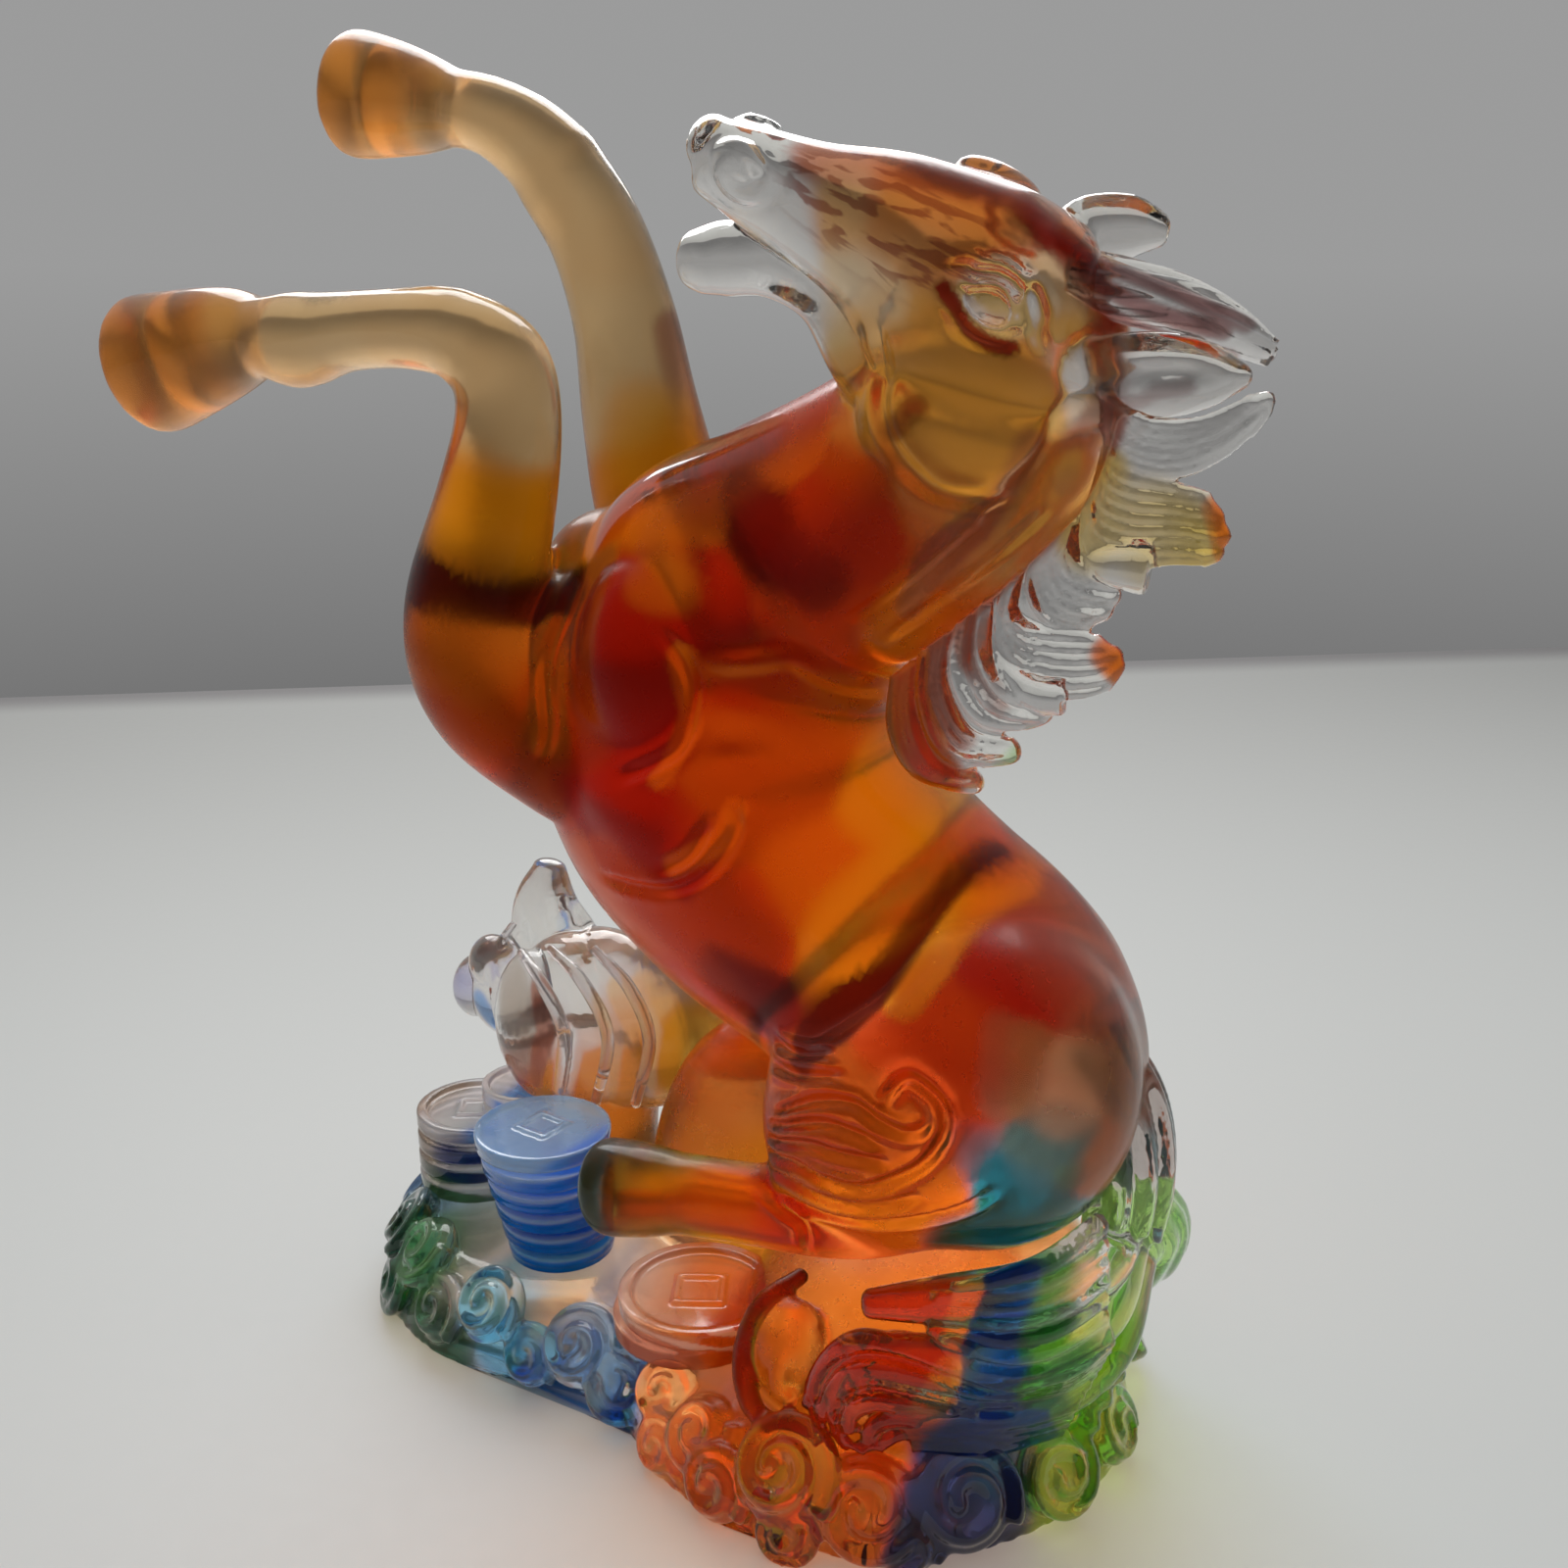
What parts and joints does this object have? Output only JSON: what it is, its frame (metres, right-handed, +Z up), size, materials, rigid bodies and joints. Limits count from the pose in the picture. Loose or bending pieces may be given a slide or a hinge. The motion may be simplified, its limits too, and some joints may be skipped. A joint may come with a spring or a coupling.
{
  "type": "horse figurine",
  "caption": "Cast coloured-glass figurine of a rearing horse seated on a two-lobed base of clouds, stacked cash coins and an ingot.",
  "frame": {"origin": "middle of the flat underside of the base, halfway along its length", "axes": "+Z up from the base underside, the horse faces -X and its left side faces -Y"},
  "size_m": [0.1478, 0.0642, 0.1666],
  "materials": {
    "glass_amber": "fire-polished cast glass",
    "glass_red": "fire-polished cast glass",
    "glass_straw": "fire-polished cast glass",
    "glass_clear": "fire-polished cast glass",
    "glass_olive": "fire-polished cast glass",
    "glass_green": "fire-polished cast glass",
    "glass_blue": "fire-polished cast glass",
    "glass_orange": "fire-polished cast glass"
  },
  "bodies": {
    "root": {"base_plinth": "glass_green", "stack_coin_1": "glass_blue", "stack_coin_2": "glass_blue", "stack_coin_3": "glass_blue", "stack_coin_4": "glass_blue", "stack_coin_5": "glass_blue", "stack_coin_6": "glass_blue", "pile_coin_1": "glass_clear", "pile_coin_2": "glass_clear", "pile_coin_3": "glass_clear", "pile_coin_4": "glass_clear", "large_coin_1": "glass_orange", "large_coin_2": "glass_orange", "cloud_mound": "glass_orange", "cloud_scroll_1": "glass_blue", "cloud_scroll_2": "glass_blue", "cloud_scroll_3": "glass_blue", "cloud_scroll_4": "glass_blue", "cloud_scroll_5": "glass_orange", "cloud_scroll_6": "glass_orange", "cloud_scroll_7": "glass_orange", "cloud_scroll_8": "glass_orange", "cloud_curl_1": "glass_orange", "cloud_curl_2": "glass_orange", "ingot": "glass_clear", "head": "glass_olive", "eye_left": "glass_clear", "eye_right": "glass_clear", "lower_jaw": "glass_clear", "forelock": "glass_red", "ear_left": "glass_clear", "ear_right": "glass_clear", "trunk": "glass_red", "neck": "glass_amber", "mane_lock_1": "glass_clear", "mane_lock_2": "glass_clear", "mane_lock_3": "glass_clear", "mane_lock_4": "glass_clear", "mane_lock_5": "glass_clear", "mane_lock_6": "glass_clear", "mane_lock_7": "glass_clear", "foreleg_left_forearm": "glass_straw", "foreleg_left_cannon": "glass_straw", "foreleg_left_hoof": "glass_amber", "foreleg_right_forearm": "glass_straw", "foreleg_right_cannon": "glass_straw", "foreleg_right_hoof": "glass_amber", "hind_left_thigh": "glass_amber", "hind_left_shank": "glass_orange", "hind_left_hoof": "glass_orange", "thigh_swirl_left": "glass_orange", "hind_right_thigh": "glass_amber", "hind_right_shank": "glass_orange", "hind_right_hoof": "glass_orange", "thigh_swirl_right": "glass_orange", "tail_dock": "glass_clear", "tail_lock_1": "glass_green", "tail_lock_2": "glass_green", "tail_lock_3": "glass_green", "tail_lock_4": "glass_clear"}
  },
  "joints": []
}
